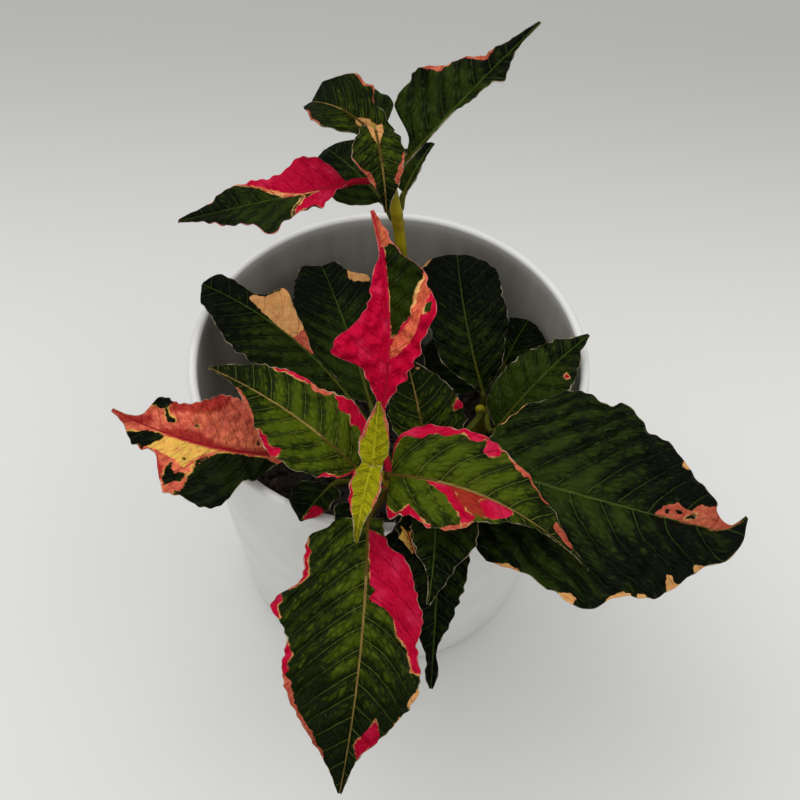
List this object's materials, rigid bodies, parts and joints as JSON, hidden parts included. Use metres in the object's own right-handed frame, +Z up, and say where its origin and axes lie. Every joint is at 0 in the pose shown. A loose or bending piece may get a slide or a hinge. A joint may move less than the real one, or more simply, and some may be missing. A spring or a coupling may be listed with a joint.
{
  "type": "potted joseph's coat",
  "caption": "Leafy potted plant with green, crimson, pink, salmon and cream leaves on upright stems in a plain tapered white pot.",
  "frame": {"origin": "centre of the pot's underside", "axes": "+Z up, -Y towards the side that the front stem leans to, +X to the right seen from there"},
  "size_m": [0.1877, 0.2004, 0.2054],
  "materials": {
    "pot_plastic": "satin white moulded plastic",
    "soil": "dark crumbly potting soil",
    "stem": "olive-yellow to tan, softly waxy",
    "leaf_bud": "yellow-green with a pink edge",
    "leaf_green": "soft sheen, veined, pink and cream edges",
    "leaf_dark": "soft sheen, veined dark green",
    "leaf_pink": "hot pink with green and cream patches",
    "leaf_salmon": "salmon and cream with dark spots"
  },
  "bodies": {
    "root": {"pot": "pot_plastic", "soil": "soil", "stem_front": "stem", "stem_back": "stem", "stem_right": "stem", "leaf_front_bud_up": "leaf_bud", "leaf_front_bud_down": "leaf_bud", "leaf_front_young_left": "leaf_green", "leaf_front_young_right": "leaf_green", "leaf_front_pink_up": "leaf_pink", "leaf_front_hanging": "leaf_green", "leaf_front_orange_left": "leaf_salmon", "leaf_front_green_up": "leaf_green", "leaf_front_dark_short": "leaf_dark", "leaf_front_dark_long": "leaf_dark", "leaf_front_dark_middle": "leaf_dark", "leaf_front_dark_left": "leaf_dark", "leaf_front_small_orange": "leaf_salmon", "leaf_front_over_left_rim": "leaf_dark", "leaf_front_inner_left": "leaf_dark", "leaf_right_large": "leaf_dark", "leaf_right_over_rim": "leaf_dark", "leaf_right_inner": "leaf_dark", "leaf_right_under": "leaf_dark", "leaf_right_rear": "leaf_dark", "leaf_back_young_left": "leaf_green", "leaf_back_young_front": "leaf_green", "leaf_back_young_rear": "leaf_dark", "leaf_back_long_right": "leaf_dark", "leaf_back_long_left": "leaf_pink", "leaf_back_low_left": "leaf_dark", "leaf_back_low_right": "leaf_dark"}
  },
  "joints": []
}
